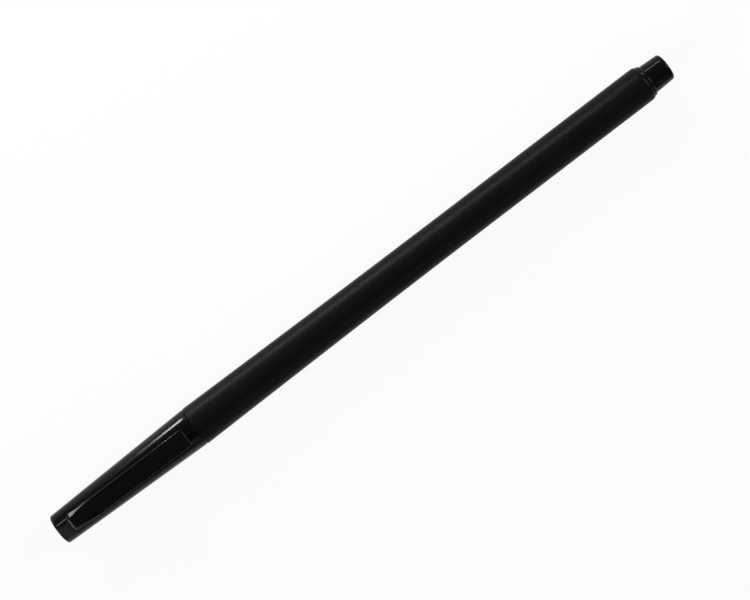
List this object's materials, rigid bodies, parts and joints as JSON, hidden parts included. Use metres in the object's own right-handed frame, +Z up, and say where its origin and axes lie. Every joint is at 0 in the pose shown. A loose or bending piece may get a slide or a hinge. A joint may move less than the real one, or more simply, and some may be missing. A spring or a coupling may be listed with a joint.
{
  "type": "fineliner pen",
  "caption": "Slim capped fineliner: a matt black flared barrel with a glossy pull-off cap with pocket clip, a tail plug, a metal-sleeved point and a fibre ink store inside.",
  "frame": {"origin": "middle of the pen's length, on the ground under its axis", "axes": "+X along the pen from cap to tail, +Z up through the clip, +Y across"},
  "size_m": [0.16, 0.009, 0.0104],
  "materials": {
    "soft_touch_black": "soft-touch lacquer, fine-grained and matt",
    "gloss_black": "polished injection moulding",
    "satin_black": "satin moulding",
    "tip_steel": "drawn stainless tube, finely turned",
    "point_plastic": "ink-stained plastic point",
    "ink_fibre": "bundled fibre soaked in black ink",
    "clear_film": "thin translucent film",
    "seal_plastic": "natural soft polyethylene"
  },
  "bodies": {
    "pen_body": {"barrel": "soft_touch_black", "tail_plug": "gloss_black", "front_section": "satin_black", "tip_sleeve": "tip_steel", "nib": "point_plastic", "feed_wick": "ink_fibre", "reservoir_fibre": "ink_fibre", "reservoir_film": "clear_film"},
    "cap": {"cap_shell": "gloss_black", "inner_cap": "seal_plastic"}
  },
  "joints": [
    {"name": "cap_pull", "type": "slide", "parent": "pen_body", "child": "cap", "axis": [-1, 0, 0], "range_m": [0, 0.045]}
  ]
}
